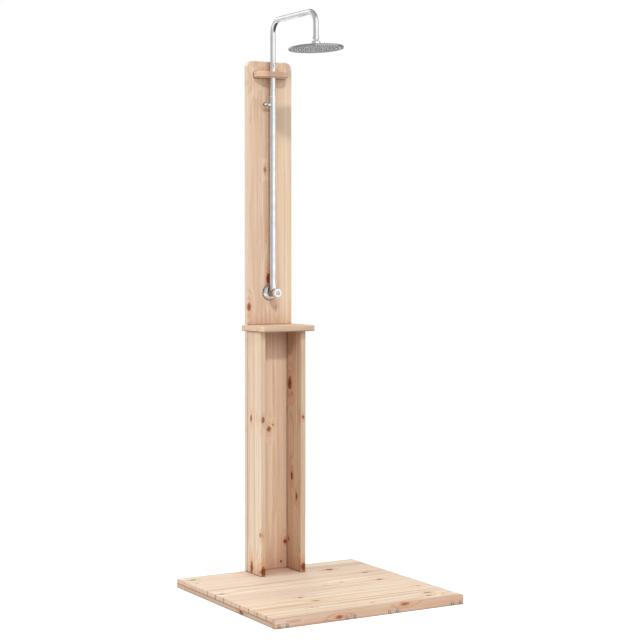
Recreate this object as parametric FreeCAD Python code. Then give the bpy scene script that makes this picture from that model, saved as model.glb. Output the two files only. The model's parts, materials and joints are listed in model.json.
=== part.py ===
import FreeCAD, Part
import math
import os

# Outdoor shower post. Millimetres, +X to the right, +Y to the back, +Z up.
# The pieces are modelled from the deck's centre on the ground. At the end they all move by one
# shift along Y, which puts the origin under the middle of the whole object.

Vector = FreeCAD.Vector
RIGHT = Vector(1, 0, 0)
LEFT = Vector(-1, 0, 0)
BACK = Vector(0, 1, 0)
FRONT = Vector(0, -1, 0)
UP = Vector(0, 0, 1)

# ---------------------------------------------------------------- driving dimensions

# Deck
deck_width = 700.0
deck_depth = 700.0
deck_thickness = 15.0
frame_thickness = 15.0
rail_width = 57.0
fascia_thickness = 16.0
panel_width = 232.8
panel_gap = 0.8
edge_round = 1.0

# Column
board_thickness = 19.0
column_width = 177.0
board_top = 1810.0
board_corner_radius = 24.0
side_board_depth = 100.0
shelf_top = 892.0
shelf_overhang = 20.5
shelf_depth = 140.0
shelf_corner_radius = 18.0
board_edge_round = 2.0
block_below_top = 38.0
block_thickness = 20.0
block_width = 126.0
block_front_margin = 23.0
block_corner_radius = 36.0
block_pipe_clearance = 0.5

# Screws. Shares are parts of the head's radius or height, or of the length that a row covers.
screw_shank = 2.0
screw_head = 4.2
screw_head_height = 2.4
screw_tip = 4.0
screw_point_radius = 0.4
screw_clearance = 0.1
screw_sink = 0.4
round_head_rim_share = 0.25
recess_arm_share = 0.55
recess_width_share = 0.22
recess_depth_share = 0.6
long_screw_shank = 2.5
long_screw_head = 5.0
long_screw_head_height = 3.0
fascia_screw_head = 5.0
fascia_screw_head_height = 3.0
fascia_screw_length = 40.0
fascia_screw_spacing = 30.0
deck_screw_cover = 5.0
deck_screw_shares = (0.2, 0.75)
column_screw_bite = 32.0
column_screw_shares = (0.2, 0.8)
side_screw_length = 48.0
side_screw_count = 3
side_screw_end_distance = 90.0
shelf_screw_spacing = 100.0
block_screw_spacing = 76.0
block_screw_length = 45.0

# Foot plates behind the tall board
plate_width = 26.0
plate_thickness = 2.0
plate_bottom = 2.0
plate_top_margin = 14.0
plate_corner_radius = 4.0
plate_spacing = 90.0
foot_bolt_radius = 2.5
foot_bolt_head = 4.5
foot_bolt_head_height = 2.2
foot_bolt_height = 24.0
foot_bolt_spare = 1.0
foot_nut_flats = 8.0
foot_nut_thickness = 4.0
foot_screw_length = 28.0

# Valve, measured along its own axis from the front face of the tall board
valve_above_shelf = 112.0
escutcheon_radius = 27.0
escutcheon_wall = 1.2
escutcheon_rim = 1.5
escutcheon_boss_gap = 0.2
escutcheon_crown_share = 0.52
escutcheon_crown_height_share = 0.72
body_wall = 2.5
body_front_margin = 6.0
boss_wall = 2.0
riser_seat_sink = 1.5
riser_socket_depth = 12.0
chamber_radius = 10.0
cartridge_wall = 1.95
cartridge_seat_back = 10.5
seal_thickness = 1.5
waterway_radius = 5.0
window_radius = 4.5
disc_thickness = 3.0
disc_chamber_gap = 3.0
spindle_radius = 4.0
spindle_foot_radius = 6.0
spindle_foot_length = 3.5
bonnet_thickness = 4.0
bonnet_spigot = 3.0
bonnet_chamfer = 1.0
oring_section = 0.8
oring_from_front = 6.0
knob_radius = 16.0
knob_gap = 1.5
knob_length = 13.5
knob_edge_round = 3.0
knob_back_round = 2.0
knob_recess_radius = 7.5
knob_recess_depth = 3.5
knob_recess_edge = 0.6
knob_web = 2.5
knob_screw_radius = 2.0
knob_screw_head = 3.5
knob_screw_head_height = 1.3
knob_screw_length = 14.0
knob_cap_seat_gap = 0.1
knob_cap_sink = 0.4
knob_cap_edge = 0.3
knob_cap_dome = 0.5

# Water inlet behind the tall board
inlet_thread_radius = 10.478
inlet_fixing_radius = 11.0
inlet_relief_radius = 9.2
inlet_relief_length = 2.0
inlet_bore_radius = 7.5
inlet_end_gap = 4.0
inlet_free_thread = 12.0
inlet_hole_clearance = 0.5
inlet_washer_radius = 18.0
inlet_washer_thickness = 2.0
backnut_flats = 30.0
backnut_thickness = 8.0

# Telescopic pipe
riser_offset = 25.0
riser_radius = 11.0
tube_wall = 0.8
riser_below_block = 65.0
pipe_play = 0.7
bush_length = 40.0
bush_lip = 1.2
bush_lip_edge = 0.4
bush_fit = 0.02
arm_above_board = 139.0
arm_reach = 299.0
arm_bend_radius = 45.0
arm_insertion = 380.0
guide_length = 24.0
guide_lip = 1.2
running_clearance = 0.05

# Clamp screw
clamp_below_top = 28.5
clamp_thread_radius = 3.0
clamp_boss_wall = 1.5
clamp_boss_flare = 1.5
clamp_boss_reach = 20.0
clamp_bush_clearance = 0.3
clamp_pad_length = 4.4
clamp_pad_gap = 0.1
clamp_collar_radius = 4.0
clamp_collar_length = 2.0
clamp_collar_gap = 1.5
clamp_ball_radius = 7.5

# Ball joint and rain head. Heights and drops are measured from the ball's centre.
ball_drop = 108.5
ball_radius = 8.5
ball_neck_radius = 4.5
ball_neck_length = 3.5
ball_bore_radius = 2.5
ball_collar_wall = 1.5
ball_collar_length = 11.5
ball_collar_chamfer = 1.0
ball_collar_edge = 0.5
tube_seat_depth = 8.0
liner_thickness = 0.95
liner_split = 1.0
liner_top_cut = 3.0
liner_bottom_cut = 0.5
nut_wall = 2.5
nut_lip = 2.0
nut_bottom = 3.9
nut_shoulder = 4.0
nut_chamfer = 3.5
nut_mouth_flare = 1.0
nut_seat_gap = 0.1
hub_wall = 2.95
hub_rim_gap = 0.3
hub_shoulder_step = 2.0
hub_shoulder_height = 3.5
hub_spigot_step = 2.5
hub_floor = 3.45
hub_bore_radius = 3.0
head_radius = 92.0
head_slope = 6.5
head_rim_height = 6.5
head_rim_round = 2.4
head_wall = 1.2
head_dome_rise = 1.4
plate_fit = 0.1
nozzle_plate_thickness = 2.2
nozzle_plate_inset = 0.3
gasket_width = 4.0
gasket_thickness = 1.0
nozzle_ring_count = 6
nozzle_edge_distance = 11.0
nozzle_radius = 1.7
nozzle_tip_radius = 1.2
nozzle_flange_radius = 2.6
nozzle_flange_thickness = 0.8
nozzle_reach = 2.2
head_tilt_front = 2.4
head_tilt_side = 1.4

# Modelling limits: how near two places count as one, and a corner round as a share of its board
tiny = 0.001
widest_fillet = 0.95

# ---------------------------------------------------------------- places worked out from them

deck_top = frame_thickness + deck_thickness
half_width = deck_width / 2
half_depth = deck_depth / 2
fascia_back = -half_depth + fascia_thickness
rail_front = half_depth - rail_width
board_back = half_depth
board_front = board_back - board_thickness
half_column = column_width / 2
side_board_centre = half_column - board_thickness / 2
side_board_front = board_front - side_board_depth
shelf_bottom = shelf_top - board_thickness
block_top = board_top - block_below_top
block_bottom = block_top - block_thickness
block_depth = riser_offset + block_front_margin
pipe_y = board_front - riser_offset
head_y = pipe_y - arm_reach
riser_inner_radius = riser_radius - tube_wall
riser_top = block_bottom - riser_below_block
arm_radius = riser_inner_radius - pipe_play
arm_inner_radius = arm_radius - tube_wall
arm_height = board_top + arm_above_board
arm_bottom = riser_top - arm_insertion
clamp_height = riser_top - clamp_below_top
clamp_boss_tip_radius = clamp_thread_radius + clamp_boss_wall
clamp_collar_start = clamp_boss_reach + clamp_collar_gap
clamp_ball_neck = math.sqrt(clamp_ball_radius ** 2 - clamp_collar_radius ** 2)
clamp_ball_reach = clamp_collar_start + clamp_collar_length + clamp_ball_neck

valve_height = shelf_top + valve_above_shelf
valve_origin = Vector(0, board_front, valve_height)
body_radius = inlet_fixing_radius + body_wall
boss_radius = riser_radius + boss_wall
body_length = riser_offset + boss_radius + body_front_margin
riser_bottom = valve_height + body_radius - riser_seat_sink
boss_top = riser_bottom + riser_socket_depth
escutcheon_depth = riser_offset - boss_radius - escutcheon_boss_gap
cartridge_seat = riser_offset - cartridge_seat_back
seal_start = cartridge_seat - seal_thickness
inlet_engagement = seal_start - inlet_end_gap
inlet_relief_start = board_thickness + inlet_washer_thickness + backnut_thickness
inlet_thread_start = inlet_relief_start + inlet_relief_length
inlet_end = inlet_thread_start + inlet_free_thread
disc_radius = chamber_radius - cartridge_wall - running_clearance
disc_chamber_depth = 2 * disc_thickness + spindle_foot_length + disc_chamber_gap
cartridge_front = body_length - bonnet_spigot
knob_back = body_length + bonnet_thickness + knob_gap
knob_front = knob_back + knob_length
knob_recess_floor = knob_front - knob_recess_depth

ball_height = arm_height - ball_drop
ball_centre = Vector(0, head_y, ball_height)
ball_collar_radius = arm_radius + ball_collar_wall
ball_collar_bottom = ball_radius + ball_neck_length
ball_collar_top = ball_collar_bottom + ball_collar_length
socket_radius = ball_radius + liner_thickness + 2 * running_clearance
liner_top = ball_radius - liner_top_cut
liner_bottom = ball_radius - liner_bottom_cut
hub_thread_radius = socket_radius + hub_wall
hub_spigot_radius = hub_thread_radius - hub_spigot_step
hub_shoulder_top = -nut_bottom - nut_seat_gap
nut_radius = hub_thread_radius + nut_wall
nut_top = liner_top + nut_lip
head_centre_drop = hub_shoulder_height - hub_shoulder_top
head_rim_top_drop = head_centre_drop + head_slope
head_rim_bottom_drop = head_rim_top_drop + head_rim_height
head_inner_radius = head_radius - head_wall
nozzle_plate_radius = head_inner_radius - plate_fit
nozzle_plate_bottom = -head_rim_bottom_drop + nozzle_plate_inset
nozzle_plate_top = nozzle_plate_bottom + nozzle_plate_thickness
nozzle_ring_pitch = (head_radius - nozzle_edge_distance) / nozzle_ring_count
joist_centres = {
    "joist_left": -half_width + rail_width / 2,
    "joist_mid_left": -side_board_centre,
    "joist_mid_right": side_board_centre,
    "joist_right": half_width - rail_width / 2,
}

# ---------------------------------------------------------------- helpers


def block(x0, x1, y0, y1, z0, z1):
    """Box between two corners."""
    return Part.makeBox(x1 - x0, y1 - y0, z1 - z0, Vector(x0, y0, z0))


def eased(shape, radius):
    """Rounds every edge of a sawn board."""
    return shape.makeFillet(radius, shape.Edges)


def runs_along(edge, direction):
    """True for a straight edge that lies along the direction."""
    ends = edge.Vertexes[-1].Point - edge.Vertexes[0].Point
    return ends.Length > 0 and abs(abs(ends.dot(direction)) - ends.Length) < tiny


def rod(radius, start, direction, length):
    """Round bar from a start point along a direction."""
    return Part.makeCylinder(radius, length, start, direction)


def taper(start_radius, end_radius, start, direction, length):
    """Cone frustum from a start point along a direction."""
    return Part.makeCone(start_radius, end_radius, length, start, direction)


def turned(outline, centre, direction):
    """Turned piece. The outline is a closed list of (radius, distance) points along the direction.

    An entry of two points is an arc: its middle point and its end point.
    """
    edges = []
    first = Vector(outline[0][0], 0, outline[0][1])
    last = first
    for entry in outline[1:]:
        if isinstance(entry[0], tuple):
            middle = Vector(entry[0][0], 0, entry[0][1])
            end = Vector(entry[1][0], 0, entry[1][1])
            edges.append(Part.Arc(last, middle, end).toShape())
        else:
            end = Vector(entry[0], 0, entry[1])
            edges.append(Part.makeLine(last, end))
        last = end
    if last.distanceToPoint(first) > tiny:
        edges.append(Part.makeLine(last, first))
    solid = Part.Face(Part.Wire(edges)).revolve(Vector(0, 0, 0), UP, 360)
    solid.Placement = FreeCAD.Placement(centre, FreeCAD.Rotation(UP, direction))
    return solid


def dome(radius, base, rise):
    """Ball cap over a round face, up to the axis, as an entry of a turned outline."""
    ball = (radius ** 2 + rise ** 2) / (2 * rise)
    centre = base + rise - ball
    half_angle = math.asin(radius / ball) / 2
    return ((ball * math.sin(half_angle), centre + ball * math.cos(half_angle)), (0, base + rise))


def screw_dome(head, head_height):
    """Round screw head standing on the origin of its own axis."""
    rim = round_head_rim_share * head_height
    return [(0, 0), (head, 0), (head, rim), dome(head, rim, head_height - rim)]


def pipe_ring(outer_radius, inner_radius, start, direction, length):
    """Plain tube or ring."""
    outside = rod(outer_radius, start, direction, length)
    return outside.cut(rod(inner_radius, start, direction, length))


def hexagon_nut(flats, bore_radius, start, direction, thickness):
    """Six-sided nut with a plain bore, its corners turned off."""
    corner = flats / math.sqrt(3)
    points = [Vector(corner * math.cos(math.radians(a)), corner * math.sin(math.radians(a)), 0)
              for a in range(0, 361, 60)]
    prism = Part.Face(Part.makePolygon(points)).extrude(Vector(0, 0, thickness))
    bevel = corner - flats / 2
    turned_off = turned([(0, 0), (flats / 2, 0), (corner, bevel), (corner, thickness - bevel),
                         (flats / 2, thickness), (0, thickness)], Vector(0, 0, 0), UP)
    nut = prism.common(turned_off).cut(rod(bore_radius, Vector(0, 0, 0), UP, thickness))
    nut.Placement = FreeCAD.Placement(start, FreeCAD.Rotation(UP, direction))
    return nut


def cross_recess(seat, direction, head_radius, head_height):
    """Cross-shaped driver recess, cut into a head from its outer side."""
    arm = head_radius * recess_arm_share
    width = head_radius * recess_width_share
    depth = head_height * recess_depth_share
    first = Part.makeBox(2 * arm, 2 * width, depth, Vector(-arm, -width, 0))
    second = Part.makeBox(2 * width, 2 * arm, depth, Vector(-width, -arm, 0))
    recess = first.fuse(second)
    recess.Placement = FreeCAD.Placement(seat, FreeCAD.Rotation(UP, direction))
    return recess


def screw_shaft(start, direction, length, radius, spare):
    """Straight shank with a pointed end."""
    shank = rod(radius + spare, start, direction, length - screw_tip)
    point = taper(radius + spare, screw_point_radius + spare, start + direction * (length - screw_tip),
                  direction, screw_tip)
    return shank.fuse(point)


def sunk_screw(face, direction, length, shank, head, head_height, spare=0.0):
    """Countersunk screw whose head lies a little under the face. With spare, it is its hole."""
    top = face + direction * screw_sink
    shaft = screw_shaft(top, direction, length, shank, spare)
    cone = taper(head + spare, shank + spare, top, direction, head_height)
    if spare:
        mouth = rod(head + spare, face, direction, screw_sink)
        return shaft.fuse([cone, mouth])
    return shaft.fuse(cone).cut(cross_recess(top, direction, head, head_height))


def round_headed(shaft, face, direction, head, head_height):
    """Shaft with a round head that stands on the face, and the recess in that head."""
    cap = turned(screw_dome(head, head_height), face, direction * -1)
    recess = cross_recess(face - direction * head_height, direction, head, head_height)
    return shaft.fuse(cap).cut(recess)


def round_screw(face, direction, length, shank, head, head_height, spare=0.0):
    """Round-headed screw, its head standing on the face. With spare, it is its hole."""
    shaft = screw_shaft(face, direction, length, shank, spare)
    if spare:
        return shaft
    return round_headed(shaft, face, direction, head, head_height)


def group(solids):
    """Separate solids kept together in one node."""
    return Part.Compound(solids)


def rounded_front_board(width, depth, corner_radius, bottom, thickness):
    """Board on the tall board's front face, with two rounded front corners in plan."""
    front = board_front - depth
    board = block(-width / 2, width / 2, front, board_front, bottom, bottom + thickness)
    corners = [e for e in board.Edges if runs_along(e, UP) and e.Vertexes[0].Y < front + tiny]
    board = board.makeFillet(min(corner_radius, widest_fillet * depth), corners)
    outer_edges = [e for e in board.Edges
                   if not runs_along(e, UP) and min(v.Y for v in e.Vertexes) < board_front - tiny]
    return board.makeFillet(board_edge_round, outer_edges)


# ---------------------------------------------------------------- screws and their places


def fascia_screw_seats():
    """Two round heads in front of each joist's end."""
    seats = []
    for centre in joist_centres.values():
        for side in (-1, 1):
            x = centre + side * fascia_screw_spacing / 2
            seats.append(Vector(x, -half_depth, frame_thickness / 2))
    return seats


def panel_spans():
    """Front and back of each deck panel, from the back of the deck to the fascia."""
    rear = half_depth
    middle = rear - panel_width - panel_gap
    front = middle - panel_width - panel_gap
    return {
        "deck_panel_rear": (rear - panel_width, rear),
        "deck_panel_middle": (middle - panel_width, middle),
        "deck_panel_front": (fascia_back, front),
    }


def deck_screw_seats():
    """Two screws from below through each joist into each panel, clear of the other screws."""
    seats = []
    fascia_screw_end = -half_depth + fascia_screw_length
    for centre in joist_centres.values():
        for panel_front, panel_back in panel_spans().values():
            start = max(panel_front, fascia_screw_end)
            reach = min(panel_back, rail_front) - start
            for share in deck_screw_shares:
                seats.append(Vector(centre - rail_width / 4, start + share * reach, 0))
    return seats


def column_screw_seats():
    """Long screws from below through frame and deck into the ends of the three column boards."""
    seats = []
    for side in (-1, 1):
        for share in column_screw_shares:
            seats.append(Vector(side * side_board_centre, side_board_front + share * side_board_depth, 0))
        seats.append(Vector(side * plate_spacing / 4, board_back - board_thickness / 2, 0))
    return seats


def side_screw_seats():
    """Screws through the tall board's back into the rear edges of the two side boards."""
    seats = []
    lowest = deck_top + side_screw_end_distance
    step = (shelf_bottom - side_screw_end_distance - lowest) / (side_screw_count - 1)
    for side in (-1, 1):
        for number in range(side_screw_count):
            seats.append(Vector(side * side_board_centre, board_back, lowest + number * step))
    return seats


def pair_seats(spacing, height):
    """Two screws through the tall board's back, level with each other."""
    return [Vector(side * spacing / 2, board_back, height) for side in (-1, 1)]


def shelf_screw_seats():
    return pair_seats(shelf_screw_spacing, shelf_bottom + board_thickness / 2)


def block_screw_seats():
    return pair_seats(block_screw_spacing, block_bottom + block_thickness / 2)


def deck_screw(seat, spare=0.0):
    length = deck_top - deck_screw_cover - screw_sink
    return sunk_screw(seat, UP, length, screw_shank, screw_head, screw_head_height, spare)


def column_screw(seat, spare=0.0):
    length = deck_top + column_screw_bite - screw_sink
    return sunk_screw(seat, UP, length, long_screw_shank, long_screw_head, long_screw_head_height,
                      spare)


def back_screw(seat, length, spare=0.0):
    return sunk_screw(seat, FRONT, length, screw_shank, screw_head, screw_head_height, spare)


def fascia_screw(seat, spare=0.0):
    return round_screw(seat, BACK, fascia_screw_length, screw_shank, fascia_screw_head,
                       fascia_screw_head_height, spare)


def foot_screw_seats():
    """Round heads on the foot plates: one into the rear rail, one into the rear deck panel."""
    heights = (frame_thickness / 2, frame_thickness + deck_thickness / 2)
    return [Vector(side * plate_spacing / 2, board_back + plate_thickness, z)
            for side in (-1, 1) for z in heights]


def foot_screw(seat, spare=0.0):
    return round_screw(seat, FRONT, foot_screw_length, screw_shank, screw_head, screw_head_height, spare)


def foot_bolt_places():
    height = deck_top + foot_bolt_height
    return [Vector(side * plate_spacing / 2, board_front, height) for side in (-1, 1)]


def foot_bolt_hole(place):
    return rod(foot_bolt_radius + screw_clearance, place, BACK, board_thickness + plate_thickness)


screw_holes = {
    "fascia": [fascia_screw(seat, screw_clearance) for seat in fascia_screw_seats()],
    "deck": [deck_screw(seat, screw_clearance) for seat in deck_screw_seats()],
    "column": [column_screw(seat, screw_clearance) for seat in column_screw_seats()],
    "side": [back_screw(seat, side_screw_length, screw_clearance) for seat in side_screw_seats()],
    "shelf": [back_screw(seat, side_screw_length, screw_clearance) for seat in shelf_screw_seats()],
    "block": [back_screw(seat, block_screw_length, screw_clearance) for seat in block_screw_seats()],
    "foot": [foot_screw(seat, screw_clearance) for seat in foot_screw_seats()],
    "bolt": [foot_bolt_hole(place) for place in foot_bolt_places()],
}


def drilled(shape, *kinds):
    """Board with the named kinds of screw hole cut where they pass through it."""
    tools = [hole for kind in kinds for hole in screw_holes[kind]
             if hole.BoundBox.intersect(shape.BoundBox)]
    return shape.cut(tools) if tools else shape


# ---------------------------------------------------------------- deck


def deck():
    pieces = {}
    for name, (front, back) in panel_spans().items():
        panel = block(-half_width, half_width, front, back, frame_thickness, deck_top)
        pieces[name] = drilled(eased(panel, edge_round), "deck", "column", "foot")
    fascia = block(-half_width, half_width, -half_depth, fascia_back, 0, deck_top)
    pieces["front_fascia"] = drilled(eased(fascia, edge_round), "fascia")
    rail = block(-half_width, half_width, rail_front, half_depth, 0, frame_thickness)
    pieces["rear_rail"] = drilled(eased(rail, edge_round), "column", "foot")
    for name, centre in joist_centres.items():
        joist = block(centre - rail_width / 2, centre + rail_width / 2, fascia_back, rail_front,
                      0, frame_thickness)
        pieces[name] = drilled(eased(joist, edge_round), "deck", "column", "fascia")
    pieces["fascia_screws"] = group([fascia_screw(seat) for seat in fascia_screw_seats()])
    pieces["deck_screws"] = group([deck_screw(seat) for seat in deck_screw_seats()])
    return pieces


# ---------------------------------------------------------------- column


def tall_board():
    board = block(-half_column, half_column, board_front, board_back, deck_top, board_top)
    top_corners = [e for e in board.Edges
                   if runs_along(e, BACK) and e.Vertexes[0].Z > board_top - tiny]
    board = board.makeFillet(board_corner_radius, top_corners)
    outline_edges = [e for e in board.Edges
                     if abs(e.Vertexes[0].Y - e.Vertexes[-1].Y) < tiny
                     and max(v.Z for v in e.Vertexes) > deck_top + tiny]
    board = board.makeFillet(board_edge_round, outline_edges)
    inlet_hole = rod(inlet_fixing_radius + inlet_hole_clearance, valve_origin, BACK, board_thickness)
    return drilled(board.cut(inlet_hole), "column", "side", "shelf", "block", "bolt")


def side_board(side):
    outer = side * half_column
    inner = side * (half_column - board_thickness)
    board = block(min(outer, inner), max(outer, inner), side_board_front, board_front,
                  deck_top, shelf_bottom)
    upright = [e for e in board.Edges
               if runs_along(e, UP) and e.Vertexes[0].Y < side_board_front + tiny]
    return drilled(board.makeFillet(board_edge_round, upright), "column", "side")


def pipe_block():
    guide = rounded_front_board(block_width, block_depth, block_corner_radius,
                                block_bottom, block_thickness)
    bore = rod(arm_radius + block_pipe_clearance, Vector(0, pipe_y, block_bottom), UP, block_thickness)
    return drilled(guide.cut(bore), "block")


def foot_plate(side):
    centre = side * plate_spacing / 2
    top = deck_top + foot_bolt_height + plate_top_margin
    plate = block(centre - plate_width / 2, centre + plate_width / 2, board_back,
                  board_back + plate_thickness, plate_bottom, top)
    corners = [e for e in plate.Edges if runs_along(e, BACK)]
    return drilled(plate.makeFillet(plate_corner_radius, corners), "foot", "bolt")


def foot_bolt(place):
    """Round-headed bolt from the front face, through board and plate, to just past its nut."""
    length = board_thickness + plate_thickness + foot_nut_thickness + foot_bolt_spare
    shank = rod(foot_bolt_radius, place, BACK, length)
    return round_headed(shank, place, BACK, foot_bolt_head, foot_bolt_head_height)


def foot_nut(place):
    seat = Vector(place.x, board_back + plate_thickness, place.z)
    return hexagon_nut(foot_nut_flats, foot_bolt_radius + running_clearance, seat, BACK,
                       foot_nut_thickness)


def column():
    shelf = rounded_front_board(column_width + 2 * shelf_overhang, shelf_depth, shelf_corner_radius,
                                shelf_bottom, board_thickness)
    return {
        "tall_board": tall_board(),
        "side_board_left": side_board(-1),
        "side_board_right": side_board(1),
        "shelf": drilled(shelf, "shelf"),
        "pipe_block": pipe_block(),
        "column_screws": group([column_screw(seat) for seat in column_screw_seats()]),
        "side_board_screws": group([back_screw(seat, side_screw_length) for seat in side_screw_seats()]),
        "shelf_screws": group([back_screw(seat, side_screw_length) for seat in shelf_screw_seats()]),
        "block_screws": group([back_screw(seat, block_screw_length) for seat in block_screw_seats()]),
        "foot_plate_left": foot_plate(-1),
        "foot_plate_right": foot_plate(1),
        "foot_bolts": group([foot_bolt(place) for place in foot_bolt_places()]),
        "foot_nuts": group([foot_nut(place) for place in foot_bolt_places()]),
        "foot_screws": group([foot_screw(seat) for seat in foot_screw_seats()]),
    }


# ---------------------------------------------------------------- valve


def along(distance):
    """Point on the valve's axis, a distance in front of the tall board's front face."""
    return valve_origin + FRONT * distance


def valve_turned(outline):
    return turned(outline, valve_origin, FRONT)


def valve_body():
    barrel = rod(body_radius, valve_origin, FRONT, body_length)
    boss_height = boss_top - valve_height
    boss = rod(boss_radius, Vector(0, pipe_y, valve_height), UP, boss_height)
    hollows = [
        rod(inlet_fixing_radius + running_clearance, valve_origin, FRONT, inlet_engagement),
        rod(waterway_radius, valve_origin, FRONT, body_length),
        rod(chamber_radius + running_clearance, along(seal_start), FRONT, body_length - seal_start),
        rod(waterway_radius, Vector(0, pipe_y, valve_height), UP, boss_height),
        rod(riser_radius + running_clearance, Vector(0, pipe_y, riser_bottom), UP, riser_socket_depth),
        rod(riser_radius + running_clearance + oring_section,
            Vector(0, pipe_y, riser_oring_bottom() - running_clearance), UP,
            oring_section + 2 * running_clearance),
    ]
    return barrel.fuse(boss).cut(hollows)


def riser_oring_bottom():
    return boss_top - oring_from_front


def oring(inner_radius, start, direction):
    """Round-section ring whose inside touches a bar of the given radius."""
    centre = start + direction * oring_section / 2
    return Part.makeTorus(inner_radius + oring_section / 2, oring_section / 2, centre, direction)


def valve_cartridge():
    """Sleeve behind the bonnet that holds the two discs, with a window up to the riser."""
    chamber = disc_radius + running_clearance
    chamber_end = cartridge_seat + disc_chamber_depth
    bore = spindle_radius + running_clearance
    groove = bore + oring_section + running_clearance
    groove_back = cartridge_front - oring_from_front - running_clearance
    groove_front = groove_back + oring_section + 2 * running_clearance
    sleeve = valve_turned([
        (chamber, cartridge_seat),
        (chamber_radius, cartridge_seat),
        (chamber_radius, cartridge_front),
        (bore, cartridge_front),
        (bore, groove_front),
        (groove, groove_front),
        (groove, groove_back),
        (bore, groove_back),
        (bore, chamber_end),
        (chamber, chamber_end),
    ])
    window = rod(window_radius, Vector(0, pipe_y, valve_height), UP, body_radius)
    return sleeve.cut(window)


def ceramic_disc(start, thickness):
    """Disc with two opposite water ports."""
    disc = rod(disc_radius, along(start), FRONT, thickness)
    ports = [rod(disc_radius / 4, along(start) + UP * side * disc_radius / 2, FRONT, thickness)
             for side in (-1, 1)]
    return disc.cut(ports)


def valve_spindle():
    foot_start = cartridge_seat + 2 * disc_thickness
    end = knob_recess_floor - knob_web
    foot = rod(spindle_foot_radius, along(foot_start), FRONT, spindle_foot_length)
    shaft = rod(spindle_radius, along(foot_start), FRONT, end - foot_start)
    tapped = rod(knob_screw_radius + running_clearance, along(end - knob_screw_length), FRONT,
                 knob_screw_length)
    return foot.fuse(shaft).cut(tapped)


def valve_bonnet():
    front = body_length + bonnet_thickness
    return valve_turned([
        (spindle_radius + running_clearance, cartridge_front),
        (chamber_radius, cartridge_front),
        (chamber_radius, body_length),
        (body_radius, body_length),
        (body_radius, front - bonnet_chamfer),
        (body_radius - bonnet_chamfer, front),
        (spindle_radius + running_clearance, front),
    ])


def rounding(radius):
    """How far the middle of a quarter round lies inside the corner that it replaces."""
    return radius * (1 - math.sqrt(0.5))


def valve_knob():
    web_back = knob_recess_floor - knob_web
    back_turn = rounding(knob_back_round)
    front_turn = rounding(knob_edge_round)
    screw_bore = knob_screw_radius + running_clearance
    spindle_bore = spindle_radius + running_clearance
    return valve_turned([
        (spindle_bore, knob_back),
        (knob_radius - knob_back_round, knob_back),
        ((knob_radius - back_turn, knob_back + back_turn), (knob_radius, knob_back + knob_back_round)),
        (knob_radius, knob_front - knob_edge_round),
        ((knob_radius - front_turn, knob_front - front_turn),
         (knob_radius - knob_edge_round, knob_front)),
        (knob_recess_radius + knob_recess_edge, knob_front),
        (knob_recess_radius, knob_front - knob_recess_edge),
        (knob_recess_radius, knob_recess_floor),
        (screw_bore, knob_recess_floor),
        (screw_bore, web_back),
        (spindle_bore, web_back),
    ])


def knob_screw():
    shank = rod(knob_screw_radius, along(knob_recess_floor), BACK, knob_screw_length)
    head = rod(knob_screw_head, along(knob_recess_floor), FRONT, knob_screw_head_height)
    top = along(knob_recess_floor + knob_screw_head_height)
    return shank.fuse(head).cut(cross_recess(top, BACK, knob_screw_head, knob_screw_head_height))


def knob_cap():
    back = knob_recess_floor + knob_screw_head_height + knob_cap_seat_gap
    front = knob_front - knob_cap_sink
    radius = knob_recess_radius - running_clearance
    return valve_turned([
        (0, back),
        (radius, back),
        (radius, front - knob_cap_edge),
        (radius - knob_cap_edge, front),
        dome(radius - knob_cap_edge, front, knob_cap_dome),
    ])


def escutcheon():
    """Domed wall flange around the valve body, of the same wall all over."""
    hole = body_radius + running_clearance
    collar = hole + escutcheon_wall
    run = escutcheon_radius - collar
    rise = escutcheon_depth - escutcheon_rim
    slant = math.hypot(run, rise)
    outer_middle = (collar + escutcheon_crown_share * run, escutcheon_crown_height_share * escutcheon_depth)
    inner_middle = (outer_middle[0] - escutcheon_wall * rise / slant,
                    outer_middle[1] - escutcheon_wall * run / slant)
    return valve_turned([
        (escutcheon_radius - escutcheon_wall, 0),
        (escutcheon_radius, 0),
        (escutcheon_radius, escutcheon_rim),
        (outer_middle, (collar, escutcheon_depth)),
        (hole, escutcheon_depth),
        (hole, escutcheon_depth - escutcheon_wall),
        (inner_middle, (escutcheon_radius - escutcheon_wall, escutcheon_rim)),
    ])


def inlet_tail():
    """Tail with its fixing thread in board and body, a relief groove and the free pipe thread."""
    return valve_turned([
        (inlet_bore_radius, -inlet_end),
        (inlet_thread_radius, -inlet_end),
        (inlet_thread_radius, -inlet_thread_start),
        (inlet_relief_radius, -inlet_thread_start),
        (inlet_relief_radius, -inlet_relief_start),
        (inlet_fixing_radius, -inlet_relief_start),
        (inlet_fixing_radius, inlet_engagement),
        (inlet_bore_radius, inlet_engagement),
    ])


def inlet_pieces():
    nut_start = board_thickness + inlet_washer_thickness
    hole = inlet_fixing_radius + running_clearance
    washer = pipe_ring(inlet_washer_radius, hole, along(-board_thickness), BACK, inlet_washer_thickness)
    nut = hexagon_nut(backnut_flats, hole, along(-nut_start), BACK, backnut_thickness)
    return {"inlet_tail": inlet_tail(), "inlet_washer": washer, "inlet_backnut": nut}


def valve():
    spindle_oring_start = cartridge_front - oring_from_front
    pieces = {
        "escutcheon": escutcheon(),
        "valve_body": valve_body(),
        "valve_seat_seal": pipe_ring(chamber_radius, waterway_radius, along(seal_start), FRONT,
                                     seal_thickness),
        "ceramic_disc_fixed": ceramic_disc(cartridge_seat, disc_thickness),
        "ceramic_disc_moving": ceramic_disc(cartridge_seat + disc_thickness + running_clearance,
                                            disc_thickness - running_clearance),
        "valve_cartridge": valve_cartridge(),
        "valve_bonnet": valve_bonnet(),
        "valve_spindle": valve_spindle(),
        "spindle_oring": oring(spindle_radius + running_clearance, along(spindle_oring_start), FRONT),
        "valve_knob": valve_knob(),
        "knob_screw": knob_screw(),
        "knob_cap": knob_cap(),
    }
    pieces.update(inlet_pieces())
    return pieces


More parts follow.
